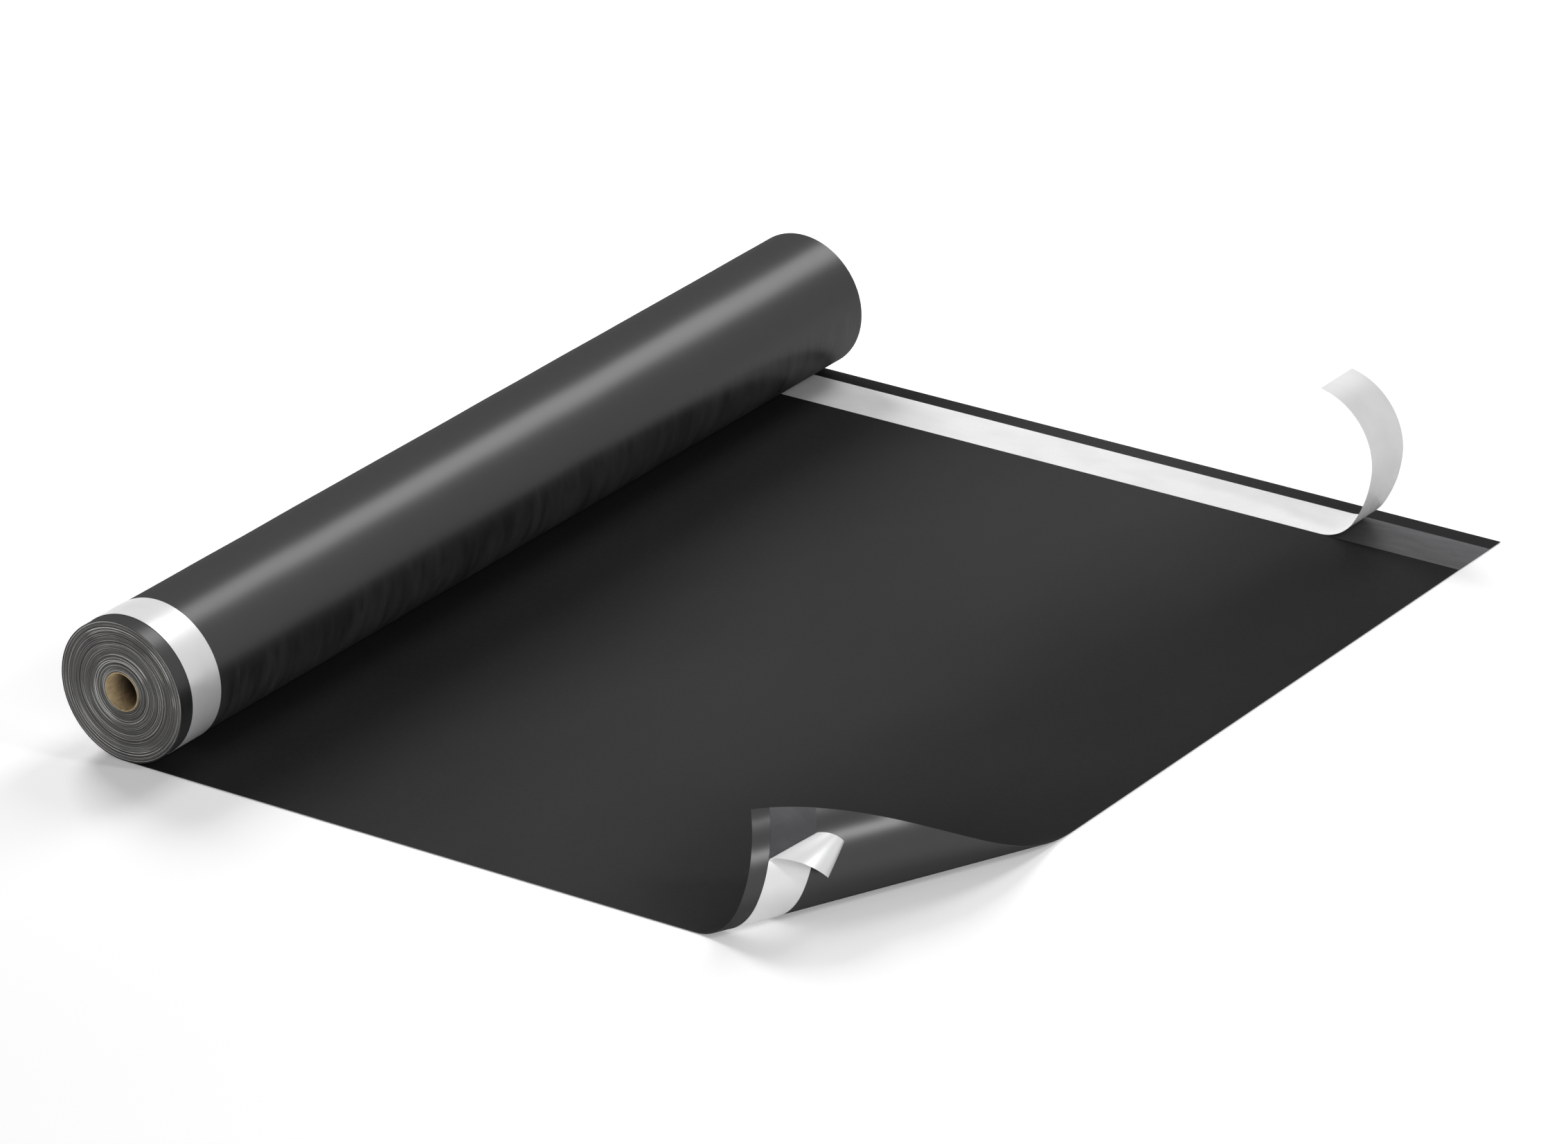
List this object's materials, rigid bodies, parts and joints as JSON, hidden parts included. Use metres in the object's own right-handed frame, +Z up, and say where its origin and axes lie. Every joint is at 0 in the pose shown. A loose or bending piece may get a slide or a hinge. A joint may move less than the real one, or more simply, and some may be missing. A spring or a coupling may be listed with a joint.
{
  "type": "roll of facade membrane",
  "caption": "Partly unrolled black facade membrane on a cardboard core, with taped long edges, a bent-up corner and release films peeled back at the front.",
  "frame": {"origin": "on the floor, at the middle of the part's footprint", "axes": "+Z up, Y along the roll's axis from the near end to the far end, +X from the roll along the unrolled leaf"},
  "size_m": [1.2224, 1.5, 0.2124],
  "materials": {
    "core_cardboard": "spiral-wound tan cardboard",
    "membrane_web": "black coated nonwoven, matte on top, satin underneath",
    "adhesive": "grey pressure-sensitive adhesive",
    "release_film": "smooth white siliconised film"
  },
  "bodies": {
    "root": {"core_tube": "core_cardboard", "membrane": "membrane_web", "upper_adhesive_strip": "adhesive", "upper_release_film": "release_film", "lower_adhesive_strip": "adhesive", "lower_release_film": "release_film"}
  },
  "joints": []
}
